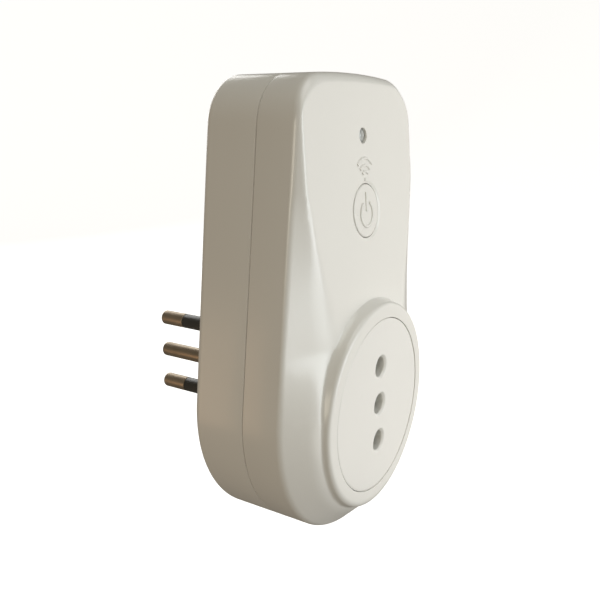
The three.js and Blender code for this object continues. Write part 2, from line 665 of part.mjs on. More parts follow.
add('contact_carrier', 'carrier', contactCarrier());
add('contact_cover', 'carrier', contactCover());
add('line_contact', 'brass', socketContact(SOCKET_HOLES[0]));
add('earth_contact', 'brass', socketContact(SOCKET_HOLES[1]));
add('neutral_contact', 'brass', socketContact(SOCKET_HOLES[2]));
addScrews('contact_screw', CONTACT_SCREWS, 2.4, -26.6, 1.05, -47);
add('shutter', 'shutter', shutter());
add('shutter_spring', 'steel', shutterSpring());

add('main_board', 'board', board(MAIN_BOARD, BOARD_SCREWS.map(([x, z]) => [x, z, BOARD_HOLE_R])));
add('relay', 'relay', box(-21.8, -12.4, ON_MAIN, -39, 35, 54));
add('terminal_block', 'terminal', terminalBlock());
add('film_capacitor', 'film', box(7, 19, ON_MAIN, -33.4, 35, 41));
add('varistor', 'varistor', varistor());
add('fuse', 'fuse', fuse());
add('supply_capacitor', 'black', rod(16.8, 57, 4, ON_MAIN, -37.5, 16));
add('filter_capacitor', 'black', rod(-17, 58.4, 3.2, ON_MAIN, -35, 16));
add('transformer', 'core', transformer());
add('bridge_rectifier', 'black', box(-4, 2.5, ON_MAIN, -29, 49, 54));
add('board_header', 'black', box(-11.2, -8.8, ON_MAIN, CONTROL_BOARD.back + GAP, 42, 56));
add('control_board', 'board', board(CONTROL_BOARD, CONTROL_SCREWS.map(([x, z]) => [x, z, BOARD_HOLE_R])));
add('wifi_module', 'board', box(-7, 7, CONTROL_BOARD.back + GAP, -32.5, 46, 62.5));
add('wifi_shield', 'can', box(-6, 6, -32.2, -30, 47, 58));
add('status_led', 'lens', statusLed());
add('tact_switch', 'black', tactSwitch());
add('tact_plunger', 'black', tactPlunger());
addScrews('board_screw', BOARD_SCREWS, 2.2, -28, 1, -21.6);
addScrews('control_board_screw', CONTROL_SCREWS, 2, -31.8, 0.9, -38.8);

for (const [name, finish] of [['line_wire', 'live'], ['neutral_wire', 'neutral'],
  ['earth_wire', 'earth'], ['load_wire', 'load']]) {
  add(name, finish, tubeAlong(WIRES[name], WIRE_R, name === 'earth_wire' ? 6 : 14));
}

export default plug;
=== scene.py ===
import json
import math

import bmesh
import bpy
import numpy as np
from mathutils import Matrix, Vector
from mathutils.geometry import delaunay_2d_cdt


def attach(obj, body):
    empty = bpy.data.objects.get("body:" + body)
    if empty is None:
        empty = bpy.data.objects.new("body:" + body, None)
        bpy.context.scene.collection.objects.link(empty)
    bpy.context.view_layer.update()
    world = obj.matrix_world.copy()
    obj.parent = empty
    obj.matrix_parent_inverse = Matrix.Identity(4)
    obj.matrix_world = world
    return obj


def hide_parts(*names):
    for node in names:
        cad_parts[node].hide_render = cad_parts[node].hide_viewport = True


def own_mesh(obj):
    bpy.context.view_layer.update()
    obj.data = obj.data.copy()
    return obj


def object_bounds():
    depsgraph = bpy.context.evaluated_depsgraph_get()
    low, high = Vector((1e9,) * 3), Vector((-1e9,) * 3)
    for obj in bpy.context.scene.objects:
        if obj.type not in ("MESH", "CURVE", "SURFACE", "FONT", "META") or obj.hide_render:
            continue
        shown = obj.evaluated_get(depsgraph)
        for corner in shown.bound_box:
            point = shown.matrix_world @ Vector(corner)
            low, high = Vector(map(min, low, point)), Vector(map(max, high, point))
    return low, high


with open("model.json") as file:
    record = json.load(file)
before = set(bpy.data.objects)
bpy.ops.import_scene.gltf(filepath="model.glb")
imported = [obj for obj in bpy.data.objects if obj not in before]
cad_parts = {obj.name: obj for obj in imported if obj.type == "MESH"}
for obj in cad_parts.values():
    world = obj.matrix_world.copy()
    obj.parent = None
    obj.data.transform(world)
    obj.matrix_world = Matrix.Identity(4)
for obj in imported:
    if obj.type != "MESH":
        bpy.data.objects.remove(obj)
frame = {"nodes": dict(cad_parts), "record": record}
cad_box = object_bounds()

# ------------------------------------------------------------ sizes, in millimetres
# The origin is on the plug's end face, on the earth pin's axis. Pins point along +Y, the front is -Y.

MM = 0.001
WALL = 2.2
GAP = 0.3
SEAM_Y, SEAM_HALF = -33.0, 0.07
LIP_INSET, LIP_LENGTH, GROOVE_DEPTH = 1.1, 1.4, 1.6
REAR_Y, REAR_INNER_Y = -19.2, -21.6
EDGE_Y = -42.4

# The outline seen from the front: a round foot, leaning sides, upper corners and a crown.
FOOT_R, FOOT_Z = 33.02, -0.3
LEAN = math.atan(0.098)
STRAIGHT_ABOVE = 3.4
TOP_Z, CROWN_R, CORNER_R = 75.5, 240.0, 11.5
REAR_FILLET = 2.0
EDGE_FILLET, TOP_FILLET = 0.8, 2.2

# The front face: a leaning tongue down the middle, with a sloping facet and a crease on each side.
TONGUE_SLOPE, TONGUE_MAX = 0.087, 6.45
CREASE_TOP_Z, CREASE_SPREAD, CREASE_LEAST = 58.5, 0.30, 0.75
GRID_X, GRID_Z = (-32.5, 33.0), (-33.0, 75.5)
FRONT_STEP, REAR_STEP, INSIDE_STEP, DISC_STEP = 0.9, 2.4, 3.5, 2.0

# The socket collar, and the round disc that sits in it.
SOCKET_Z, PIN_PITCH = -1.9, 9.5
COLLAR_FOOT_R, COLLAR_TOP_R, COLLAR_RIM = 25.8, 23.9, 7.75
COLLAR_ROUND_R, COLLAR_WALL_SLOPE = 1.2, 4.5
RING_R, RING_FILLET = 21.33, 0.15
INSERT_R, INSERT_FACE_Y, INSERT_BACK_Y = 21.2, -50.05, -47.65
DISC_EDGE, SKIRT_IN_R, SKIRT_END_Y = 0.22, 18.4, -44.4
LEDGE_R, LEDGE_Y = 20.0, -44.0
SOCKET_HOLE_R = 2.5
SOCKET_HOLES = [SOCKET_Z + PIN_PITCH * k for k in (1, 0, -1)]

# The controls on the tongue.
BUTTON_Z, BUTTON_RIM_R, BUTTON_HOLE_R, BEVEL_DEPTH = 44.8, 7.1, 6.3, 0.24
CAP_R, CAP_SINK, CAP_FILLET = 6.17, 0.05, 0.45
LED_Z, LED_HOLE_R, LED_FILLET = 61.8, 1.75, 0.12
WAVES_Z, MARK_RISE = 52.0, 0.28

# The plug, the screws and the label.
PIN_R, PIN_LENGTH, PIN_TIP_R, SLEEVE_LENGTH = 2.0, 19.0, 0.8, 11.0
PIN_HOLE_R = PIN_R + GAP
PIN_PLACES = (PIN_PITCH, 0, -PIN_PITCH)
NOSE_SPINE, NOSE_BORE_R = 8.0, 5.9
NOSE_PROFILE = ((0, 0), (6.9, 0), (7.25, -0.1), (7.55, -0.4), (7.75, -0.9), (8.6, -8), (9.3, -13),
                (9.8, -15.2), (10.5, -17), (11.5, -18.3), (12.8, -19.0), (14, REAR_Y), (99, REAR_Y))
HOUSING_SCREWS = [(-18, 67), (18, 67), (-19.5, -19.5), (19.5, -19.5)]
SCREW_HOLE_R, SCREW_BOSS_R, SCREW_SHANK_HOLE_R = 3.0, 3.3, 1.8
SCREW_SEAT_Y, REAR_BOSS_END_Y = -24.5, -32.3
LABEL_Z, LABEL_HALF, LABEL_CORNER_R, LABEL_DEPTH = 44.0, (15.4, 12.4), 1.0, 0.6

COLLAR_SIDES, BUTTON_SIDES, LED_SIDES, SOCKET_HOLE_SIDES = 200, 96, 40, 48
SCREW_SIDES, PIN_SIDES = 40, 40


# ------------------------------------------------------------ node materials

class Nodes:
    """A short way to build a material's nodes."""

    def __init__(self, name):
        self.material = bpy.data.materials.new(name)
        self.material.use_nodes = True
        self.tree = self.material.node_tree
        self.shader = self.tree.nodes["Principled BSDF"]
        self.place = self.add("ShaderNodeTexCoord").outputs["Object"]

    def add(self, kind, **settings):
        """A new node; each setting goes to its input of that name, or else to its property."""
        node = self.tree.nodes.new(kind)
        for key, value in settings.items():
            if key in node.inputs:
                node.inputs[key].default_value = value
            else:
                setattr(node, key, value)
        return node

    def link(self, output, target):
        self.tree.links.new(output, target)

    def noise(self, scale, detail=3.0, roughness=0.5, stretch=(1, 1, 1)):
        """Noise in the object's own space, squeezed along an axis by stretch."""
        mapping = self.add("ShaderNodeMapping", Scale=stretch)
        self.link(self.place, mapping.inputs["Vector"])
        node = self.add("ShaderNodeTexNoise", Scale=scale, Detail=detail, Roughness=roughness)
        self.link(mapping.outputs["Vector"], node.inputs["Vector"])
        return node.outputs["Fac"]

    def ramp(self, value, low, high, start=0.15, end=0.85):
        """A number that runs from low to high as the value does from start to end."""
        node = self.add("ShaderNodeMapRange")
        self.link(value, node.inputs["Value"])
        for key, number in zip(("From Min", "From Max", "To Min", "To Max"), (start, end, low, high)):
            node.inputs[key].default_value = number
        return node.outputs["Result"]

    def blend(self, value, dark, light, start=0.12, end=0.88):
        """A colour that runs from dark to light as the value does from start to end."""
        node = self.add("ShaderNodeValToRGB")
        node.color_ramp.elements[0].position = start
        node.color_ramp.elements[1].position = end
        node.color_ramp.elements[0].color = (*dark, 1)
        node.color_ramp.elements[1].color = (*light, 1)
        self.link(value, node.inputs["Fac"])
        return node.outputs["Color"]

    def bump(self, height, strength, distance):
        node = self.add("ShaderNodeBump", Strength=strength, Distance=distance)
        self.link(height, node.inputs["Height"])
        self.link(node.outputs["Normal"], self.shader.inputs["Normal"])

    def set(self, **values):
        """Shader inputs: a number or colour set on the socket itself, or another node's output."""
        for key, value in values.items():
            socket = self.shader.inputs[key.replace("_", " ")]
            if isinstance(value, bpy.types.NodeSocket):
                self.link(value, socket)
            else:
                socket.default_value = value


def shade(color, share):
    """The colour made darker or lighter."""
    return tuple(min(1.0, c * share) for c in color)


def moulded(name, color, gloss=0.32, spread=0.04, grain=0.05, coat=0.4, tint=0.02):
    """Moulded plastic: slow colour drift, uneven gloss and a fine mould-texture bump."""
    n = Nodes(name)
    drift = n.noise(35, 4)
    n.set(Base_Color=n.blend(drift, shade(color, 1 - tint), shade(color, 1 + tint)),
          Roughness=n.ramp(n.noise(90, 5), gloss - spread, gloss + spread),
          Coat_Weight=coat, Coat_Roughness=0.2)
    n.bump(n.noise(1400, 3), grain, 0.00004)
    return n.material


def turned_metal(name, dark, light, gloss=0.3, axis=(1, 40, 1), grain=0.25):
    """Plated or stamped metal with fine marks across one axis."""
    n = Nodes(name)
    n.set(Base_Color=n.blend(n.noise(160, 5), dark, light), Metallic=1.0,
          Roughness=n.ramp(n.noise(300, 4), gloss - 0.08, gloss + 0.12))
    n.bump(n.noise(250, 2, stretch=axis), grain, 0.00003)
    return n.material


def circuit_board(name, color):
    """Solder mask with faint copper tracks under it."""
    n = Nodes(name)
    tracks = n.add("ShaderNodeTexBrick", Scale=140.0, **{"Mortar Size": 0.03, "Row Height": 0.4})
    tracks.inputs["Color1"].default_value = (*shade(color, 0.8), 1)
    tracks.inputs["Color2"].default_value = (*shade(color, 1.15), 1)
    tracks.inputs["Mortar"].default_value = (*shade(color, 1.8), 1)
    turn = n.add("ShaderNodeMapping", Rotation=(math.pi / 2, 0, 0))
    n.link(n.place, turn.inputs["Vector"])
    n.link(turn.outputs["Vector"], tracks.inputs["Vector"])
    n.set(Base_Color=tracks.outputs["Color"], Roughness=n.ramp(n.noise(200), 0.25, 0.4))
    n.bump(tracks.outputs["Fac"], 0.2, 0.00005)
    return n.material


def clear_lens(name):
    """Milky clear plastic."""
    n = Nodes(name)
    n.set(Base_Color=n.blend(n.noise(600), (0.58, 0.60, 0.58), (0.70, 0.72, 0.70)),
          Roughness=n.ramp(n.noise(400), 0.06, 0.14), Transmission_Weight=0.35, IOR=1.49)
    n.bump(n.noise(900), 0.1, 0.00003)
    return n.material


SHELL_WHITE = (0.80, 0.785, 0.745)
MATERIALS = {
    "shell": moulded("shell_plastic", SHELL_WHITE),
    "insert": moulded("insert_plastic", (0.82, 0.805, 0.77), gloss=0.33),
    "button": moulded("button_plastic", (0.79, 0.775, 0.735), gloss=0.26),
    "lens": clear_lens("clear_lens"),
    "shutter": moulded("shutter_plastic", (0.74, 0.78, 0.74), gloss=0.45, coat=0.0),
    "insulator": moulded("thermoset", (0.05, 0.05, 0.055), gloss=0.5, coat=0.0, tint=0.2),
    "carrier": moulded("cream_insulator", (0.72, 0.68, 0.58), gloss=0.5, coat=0.0),
    "sleeve": moulded("sleeve_plastic", (0.036, 0.034, 0.029), gloss=0.42, coat=0.1, tint=0.3),
    "nickel": turned_metal("pin_plating", (0.33, 0.27, 0.20), (0.54, 0.455, 0.35), gloss=0.40),
    "brass": turned_metal("spring_brass", (0.52, 0.36, 0.13), (0.70, 0.52, 0.22), gloss=0.35),
    "steel": turned_metal("zinc_steel", (0.42, 0.43, 0.45), (0.62, 0.63, 0.65), gloss=0.36),
    "board": circuit_board("solder_mask", (0.012, 0.12, 0.05)),
    "component": moulded("black_case", (0.015, 0.015, 0.017), gloss=0.4, coat=0.0, tint=0.3),
    "relay": moulded("relay_case", (0.03, 0.11, 0.36), gloss=0.3, tint=0.1),
    "terminal": moulded("terminal_case", (0.04, 0.22, 0.08), gloss=0.45, coat=0.0, tint=0.1),
    "film": moulded("film_case", (0.62, 0.40, 0.05), gloss=0.3, tint=0.08),
    "varistor": moulded("varistor_dip", (0.03, 0.13, 0.36), gloss=0.25, grain=0.4, tint=0.12),
    "fuse": moulded("ceramic_tube", (0.55, 0.46, 0.33), gloss=0.6, coat=0.0, tint=0.08),
    "can": turned_metal("tinned_can", (0.55, 0.56, 0.57), (0.72, 0.73, 0.74), gloss=0.28),
    "core": moulded("ferrite_core", (0.05, 0.045, 0.04), gloss=0.6, coat=0.0, tint=0.25),
    "label": moulded("label_foil", (0.50, 0.50, 0.49), gloss=0.35, coat=0.0, tint=0.05),
    "wire_live": moulded("brown_wire", (0.12, 0.045, 0.02), gloss=0.4, tint=0.15),
    "wire_load": moulded("black_wire", (0.015, 0.015, 0.016), gloss=0.4, tint=0.3),
    "wire_neutral": moulded("blue_wire", (0.02, 0.07, 0.30), gloss=0.4, tint=0.15),
    "wire_earth": moulded("green_wire", (0.10, 0.30, 0.03), gloss=0.4, tint=0.15),
}


# ------------------------------------------------------------ mesh building

class Patchwork:
    """Surface patches in millimetres, welded into one piece."""

    def __init__(self):
        self.points = []
        self.faces = []

    def add(self, points, faces):
        """Points, and faces that count from the first of them."""
        base = len(self.points)
        self.points += [tuple(map(float, p)) for p in points]
        self.faces += [tuple(base + i for i in face) for face in faces]

    def strip(self, loops):
        """Quads between loops that have the same count of points."""
        count = len(loops[0])
        faces = []
        for row in range(len(loops) - 1):
            near, far = row * count, (row + 1) * count
            for i in range(count):
                j = (i + 1) % count
                faces.append((near + i, near + j, far + j, far + i))
        self.add([p for loop in loops for p in loop], faces)

    def fan(self, loop, middle):
        """Triangles from a loop to one point."""
        self.add([*loop, middle], [(i, (i + 1) % len(loop), len(loop)) for i in range(len(loop))])

    def piece(self, name, slot, body, replaces=(), sharp=38.0):
        """The welded patches as one smooth-shaded object that rides on a body."""
        mesh = bpy.data.meshes.new(name)
        mesh.from_pydata([[c * MM for c in p] for p in self.points], [], self.faces)
        bm = bmesh.new()
        bm.from_mesh(mesh)
        bmesh.ops.remove_doubles(bm, verts=bm.verts, dist=2e-6)
        bmesh.ops.recalc_face_normals(bm, faces=bm.faces)
        bm.to_mesh(mesh)
        bm.free()
        mesh.shade_smooth()
        mesh.set_sharp_from_angle(angle=math.radians(sharp))
        mesh.materials.append(MATERIALS[slot])
        piece = bpy.data.objects.new(name, mesh)
        bpy.context.scene.collection.objects.link(piece)
        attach(piece, body)
        if replaces:
            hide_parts(*replaces)
        return piece


def circle(x, z, r, count, y=None):
    """A ring of (x, z) points, or of (x, y, z) points where y is given."""
    angles = [2 * math.pi * i / count for i in range(count)]
    ring = [(x + r * math.cos(a), z + r * math.sin(a)) for a in angles]
    return ring if y is None else [(px, y, pz) for px, pz in ring]


def lathe(patch, x, z, profile, count=64):
    """A profile of (radius, y) turned about an axis along Y; a radius of 0 closes on the axis."""
    loops = [circle(x, z, r, count, y) for r, y in profile if r > 0]
    patch.strip(loops)
    for end, loop in ((profile[0], loops[0]), (profile[-1], loops[-1])):
        if end[0] == 0:
            patch.fan(loop, (x, end[1], z))


def tube(patch, x, z, r_out, r_in, y0, y1, count=32):
    """A plain pipe along Y, closed into a solid wall."""
    lathe(patch, x, z, [(r_out, y0), (r_out, y1), (r_in, y1), (r_in, y0), (r_out, y0)], count)


def fill(patch, loops, points, keep, height):
    """Triangles over flat loops and loose points, lifted to height(x, z)."""
    coords, edges = [], []
    for loop in loops:
        start = len(coords)
        coords += loop
        edges += [(start + i, start + (i + 1) % len(loop)) for i in range(len(loop))]
    coords += points
    inside_outline = 1
    result = delaunay_2d_cdt([Vector(c) for c in coords], edges, [], inside_outline, 1e-6)
    flat = np.array([coords[from_input[0]] if from_input else tuple(v)
                     for v, from_input in zip(result[0], result[3])])
    triangles = np.array([tuple(f) for f in result[2]])
    middles = flat[triangles].mean(axis=1)
    triangles = triangles[keep(middles[:, 0], middles[:, 1])]
    y = height(flat[:, 0], flat[:, 1])
    patch.add(np.column_stack([flat[:, 0], y, flat[:, 1]]), triangles.tolist())


def lifted(loop, height):
    """A flat loop raised to the surface height(x, z)."""
    flat = np.array(loop)
    y = height(flat[:, 0], flat[:, 1])
    return [tuple(p) for p in np.column_stack([flat[:, 0], y, flat[:, 1]])]


def at_depth(loop, y):
    """A flat loop at one depth."""
    return [(x, y, z) for x, z in loop]


def grid(step, keep):
    """Staggered loose points over the housing, where keep(x, z) is true."""
    x, z = np.meshgrid(np.arange(*GRID_X, step), np.arange(*GRID_Z, step))
    x = x + (np.arange(x.shape[0]) % 2)[:, None] * step / 2
    chosen = keep(x, z)
    return list(zip(x[chosen].tolist(), z[chosen].tolist()))


def outside_holes(x, z, places, r, sides):
    """True outside every faceted round hole of radius r at the places."""
    keep = np.full(np.shape(x), True)
    for hole_x, hole_z in places:
        keep &= np.hypot(x - hole_x, z - hole_z) > r * math.cos(math.pi / sides)
    return keep


def smooth_min(a, b, blend):
    """The smaller of two values, rounded where they cross."""
    return np.minimum(a, b) - np.maximum(blend - np.abs(a - b), 0) ** 2 / (4 * blend)


def smooth_max(a, b, blend):
    return -smooth_min(-a, -b, blend)


def smooth_step(value, start, end):
    """0 at start and 1 at end, eased at both."""
    t = np.clip((value - start) / (end - start), 0, 1)
    return t * t * (3 - 2 * t)


# ------------------------------------------------------------ housing outline

def corner_centre():
    """The centre of the upper corner's arc, tangent to the side line and to the crown."""
    s, c = math.sin(LEAN), math.cos(LEAN)
    p, q = FOOT_R - CORNER_R, CROWN_R - CORNER_R
    k = FOOT_Z - (TOP_Z - CROWN_R)
    a, b = (s / c) ** 2 + 1, -2 * p * s / c ** 2 + 2 * k
    u = (-b + math.sqrt(b * b - 4 * a * ((p / c) ** 2 + k * k - q * q))) / (2 * a)
    return (p - u * s) / c, FOOT_Z + u


CORNER_X, CORNER_Z = corner_centre()
CROWN_Z = TOP_Z - CROWN_R
CROWN_ANGLE = math.atan2(CORNER_Z - CROWN_Z, CORNER_X)


def outline(inset, steps=(72, 56, 16, 12)):
    """The housing's outline seen from the front, moved inwards."""
    foot, side, corner, crown = steps
    half = []

    def arc(cx, cz, r, start, end, count, first):
        """Points of an arc, from the numbered one on."""
        for i in range(first, count + 1):
            a = start + (end - start) * i / count
            half.append((cx + r * math.cos(a), cz + r * math.sin(a)))

    arc(0, FOOT_Z, FOOT_R - inset, -math.pi / 2, LEAN, foot, 0)
    (x0, z0), r = half[-1], CORNER_R - inset
    x1, z1 = CORNER_X + r * math.cos(LEAN), CORNER_Z + r * math.sin(LEAN)
    half += [(x0 + (x1 - x0) * i / side, z0 + (z1 - z0) * i / side) for i in range(1, side)]
    arc(CORNER_X, CORNER_Z, r, LEAN, CROWN_ANGLE, corner, 0)
    arc(0, CROWN_Z, CROWN_R - inset, CROWN_ANGLE, math.pi / 2, crown, 1)
    return half + [(-x, z) for x, z in half[-2:0:-1]]


def inset_of(x, z):
    """How far a point lies inside the outline, and the height of the outline beside it."""
    ax = np.abs(x)
    cos, sin = math.cos(LEAN), math.sin(LEAN)
    along_foot = -ax * sin + (z - FOOT_Z) * cos
    along_corner = -(ax - CORNER_X) * sin + (z - CORNER_Z) * cos
    turn = math.cos(CROWN_ANGLE) * (z - CORNER_Z) - math.sin(CROWN_ANGLE) * (ax - CORNER_X)
    side = FOOT_R - (ax * cos + (z - FOOT_Z) * sin)
    foot = FOOT_R - np.hypot(x, z - FOOT_Z)
    corner = CORNER_R - np.hypot(ax - CORNER_X, z - CORNER_Z)
    crown = CROWN_R - np.hypot(x, z - CROWN_Z)
    depth = np.where(along_foot < 0, foot, np.where(along_corner < 0, side,
                     np.where(turn > 0, crown, corner)))
    beside = np.where((along_foot >= 0) & (along_corner < 0), z + side * sin, z)
    return depth, beside


# ------------------------------------------------------------ front cover

def tongue_rise(z):
    """How far the tongue stands forward of EDGE_Y at a height."""
    return smooth_min(TONGUE_SLOPE * (TOP_Z - z), TONGUE_MAX + 0 * z, 0.4)


def facet_width(x, z):
    """How wide the sloping band between the side edge and the tongue or collar is."""
    angle = np.arctan2(z - FOOT_Z, np.abs(x) + 1e-9)
    foot = FOOT_R - COLLAR_FOOT_R + (FOOT_Z - SOCKET_Z) * np.sin(np.minimum(angle, LEAN))
    crease = smooth_max(CREASE_SPREAD * (CREASE_TOP_Z - z), CREASE_LEAST + 0 * z, 1.0)
    half_width = (FOOT_R - (z - FOOT_Z) * math.sin(LEAN)) / math.cos(LEAN)
    reach = np.sqrt(np.maximum(COLLAR_FOOT_R ** 2 - (z - SOCKET_Z) ** 2, 0))
    side = smooth_min(crease, half_width - reach, 2.5)
    return np.maximum(np.where(z > FOOT_Z + STRAIGHT_ABOVE, side, foot), 0.2)


def front_rise(x, z, edges=True, collar=True):
    """How far the front face stands forward of EDGE_Y."""
    depth, beside = inset_of(x, z)
    tongue = tongue_rise(z)
    slope = np.minimum(tongue_rise(beside) / facet_width(x, beside), 1.0)
    fade = 0.35 + 1.7 * smooth_step(CREASE_TOP_Z - beside, 14, 36)
    rise = smooth_min(tongue, slope * depth, fade)
    if collar:
        reach = np.hypot(x, z - SOCKET_Z)
        bend_width = COLLAR_ROUND_R * math.sin(math.atan(COLLAR_WALL_SLOPE))
        out = np.clip(reach - COLLAR_TOP_R, 0, bend_width)
        top = COLLAR_RIM - (COLLAR_ROUND_R - np.sqrt(COLLAR_ROUND_R ** 2 - out ** 2))
        wall = top - COLLAR_WALL_SLOPE * np.maximum(reach - COLLAR_TOP_R - bend_width, 0)
        upward = (z - SOCKET_Z) / (reach + 1e-9)
        rise = smooth_max(rise, wall, 0.9 + 0.5 * np.clip(upward, 0, 1))
    if edges:
        fillet = EDGE_FILLET + (TOP_FILLET - EDGE_FILLET) * smooth_step(beside, 66, 73)
        near = np.clip(fillet - depth, 0, fillet)
        rise = rise - (fillet - np.sqrt(np.maximum(fillet ** 2 - near ** 2, 0)))
        rise = rise - rounding(np.hypot(x, z - SOCKET_Z), RING_R, RING_FILLET)
        button = np.hypot(x, z - BUTTON_Z)
        bevel_width = BUTTON_RIM_R - BUTTON_HOLE_R
        rise = rise - BEVEL_DEPTH * smooth_step(BUTTON_RIM_R - button, 0, bevel_width)
        rise = rise - rounding(np.hypot(x, z - LED_Z), LED_HOLE_R, LED_FILLET)
    return rise


def rounding(reach, r, fillet):
    """The drop of a rounded edge round a hole."""
    near = np.clip(fillet - (reach - r), 0, fillet)
    return fillet - np.sqrt(np.maximum(fillet ** 2 - near ** 2, 0))


def front_y(x, z):
    return EDGE_Y - front_rise(x, z)


def front_inner_y(x, z):
    return EDGE_Y - front_rise(x, z, edges=False, collar=False) + WALL


def front_cover():
    """The front shell: face, rim with its lip, inner face, collar bore, and screw bosses."""
    patch = Patchwork()
    # Rings of points stand closer together where the face bends.
    insets = (0, 0.05, 0.14, 0.3, 0.5, 0.75, 1.05, 1.4, 1.9, 2.4, 3.0)
    collar = (28.2, 27.6, 27.1, 26.7, 26.35, 26.05, 25.8, 25.55, 25.3, 25.1, 24.98, 24.8, 24.55, 24.3,
              24.05, 23.5, 22.6, 21.8, 21.6, 21.48, 21.4, RING_R)
    button = (8.4, 7.8, 7.45, 7.28, 7.18, 7.1, 7.02, 6.9, 6.75, 6.5, BUTTON_HOLE_R)
    led = (3.0, 2.4, 2.0, 1.87, 1.83, 1.79, 1.765, LED_HOLE_R)
    loops = [outline(inset) for inset in insets]
    loops += [circle(0, SOCKET_Z, r, COLLAR_SIDES) for r in collar]
    loops += [circle(0, BUTTON_Z, r, BUTTON_SIDES) for r in button]
    loops += [circle(0, LED_Z, r, LED_SIDES) for r in led]

    def clear_of(inset, collar_r, button_r, led_r):
        """A test for loose points that stay inside the outline and outside the round parts."""
        return lambda x, z: ((inset_of(x, z)[0] > inset)
                             & (np.hypot(x, z - SOCKET_Z) > collar_r)
                             & (np.hypot(x, z - BUTTON_Z) > button_r)
                             & (np.hypot(x, z - LED_Z) > led_r))

    def open_holes(collar_r):
        """A test for triangles that lie outside the collar's bore and the two holes."""
        return lambda x, z: (outside_holes(x, z, [(0, SOCKET_Z)], collar_r, COLLAR_SIDES)
                             & outside_holes(x, z, [(0, BUTTON_Z)], BUTTON_HOLE_R, BUTTON_SIDES)
                             & outside_holes(x, z, [(0, LED_Z)], LED_HOLE_R, LED_SIDES))

    face_clear = clear_of(insets[-1] + 0.4, collar[0] + 0.5, button[0] + 0.4, led[0] + 0.4)
    fill(patch, loops, grid(FRONT_STEP, face_clear), open_holes(RING_R), front_y)

    seam = SEAM_Y - SEAM_HALF
    lip = LIP_INSET + GAP
    patch.strip([lifted(outline(0), front_y), at_depth(outline(0), -38), at_depth(outline(0), seam - 0.3),
                 at_depth(outline(0.04), seam - 0.06), at_depth(outline(0.14), seam),
                 at_depth(outline(lip), seam), at_depth(outline(lip), seam + LIP_LENGTH),
                 at_depth(outline(WALL), seam + LIP_LENGTH), lifted(outline(WALL), front_inner_y)])

    ring = circle(0, SOCKET_Z, COLLAR_FOOT_R, COLLAR_SIDES)
    button_hole = circle(0, BUTTON_Z, BUTTON_HOLE_R, BUTTON_SIDES)
    led_hole = circle(0, LED_Z, LED_HOLE_R, LED_SIDES)
    inside_clear = clear_of(WALL + 1, COLLAR_FOOT_R + 1, BUTTON_HOLE_R + 1, LED_HOLE_R + 1)
    fill(patch, [outline(WALL), ring, button_hole, led_hole], grid(INSIDE_STEP, inside_clear),
         open_holes(COLLAR_FOOT_R), front_inner_y)
    seat_y = INSERT_BACK_Y + GAP
    bore = [(LEDGE_R, LEDGE_Y), (LEDGE_R, seat_y), (INSERT_R + GAP, seat_y)]
    patch.strip([lifted(ring, front_inner_y),
                 *[circle(0, SOCKET_Z, r, COLLAR_SIDES, y) for r, y in bore],
                 lifted(circle(0, SOCKET_Z, RING_R, COLLAR_SIDES), front_y)])
    for hole in (button_hole, led_hole):
        patch.strip([lifted(hole, front_y), lifted(hole, front_inner_y)])
    for x, z in HOUSING_SCREWS:
        end = -40.6 if z > 0 else -43.2
        tube(patch, x, z, 3.2, 1.7, SEAM_Y + 0.1, end)
    patch.piece("front_shell", "shell", "housing", ["front_cover"])


# ------------------------------------------------------------ rear cover

def spine_reach(x, z):
    """Distance from the upright line that runs down the middle of the plug's nose."""
    return np.hypot(x, np.maximum(np.abs(z) - NOSE_SPINE, 0))


def label_reach(x, z):
    """Distance outside the label's recess, which has rounded corners."""
    out_x = np.abs(x) - LABEL_HALF[0] + LABEL_CORNER_R
    out_z = np.abs(z - LABEL_Z) - LABEL_HALF[1] + LABEL_CORNER_R
    corner = np.hypot(np.maximum(out_x, 0), np.maximum(out_z, 0))
    return corner + np.minimum(np.maximum(out_x, out_z), 0) - LABEL_CORNER_R


def rear_y(x, z):
    """The back's depth: flat, with the nose, a label recess and rounded screw and pin holes."""
    reach = spine_reach(x, z)
    radii, depths = zip(*NOSE_PROFILE)
    near = np.clip(REAR_FILLET - inset_of(x, z)[0], 0, REAR_FILLET)
    y = np.interp(reach, radii, depths) - REAR_FILLET + np.sqrt(REAR_FILLET ** 2 - near ** 2)
    y = y - LABEL_DEPTH * smooth_step(-label_reach(x, z), -0.05, 0.15)
    for sx, sz in HOUSING_SCREWS:
        y = y - rounding(np.hypot(x - sx, z - sz), SCREW_HOLE_R, 0.4)
    for pz in PIN_PLACES:
        y = y - rounding(np.hypot(x, z - pz), PIN_HOLE_R, 0.25)
    return y


def rectangle(half_x, half_z, z, r, count=6):
    """A rectangle with rounded corners, centred on X = 0."""
    loop = []
    for turn, (sx, sz) in enumerate(((1, 1), (-1, 1), (-1, -1), (1, -1))):
        for i in range(count + 1):
            a = math.pi / 2 * (turn + i / count)
            loop.append((sx * (half_x - r) + r * math.cos(a), z + sz * (half_z - r) + r * math.sin(a)))
    return loop


def capsule(r, count=28):
    """The rounded shape at a distance r from the nose's upright middle line."""
    loop = []
    for end in (1, -1):
        for i in range(count + 1):
            a = math.pi * (i / count) + (0 if end > 0 else math.pi)
            loop.append((r * math.cos(a), end * NOSE_SPINE + r * math.sin(a)))
    return loop


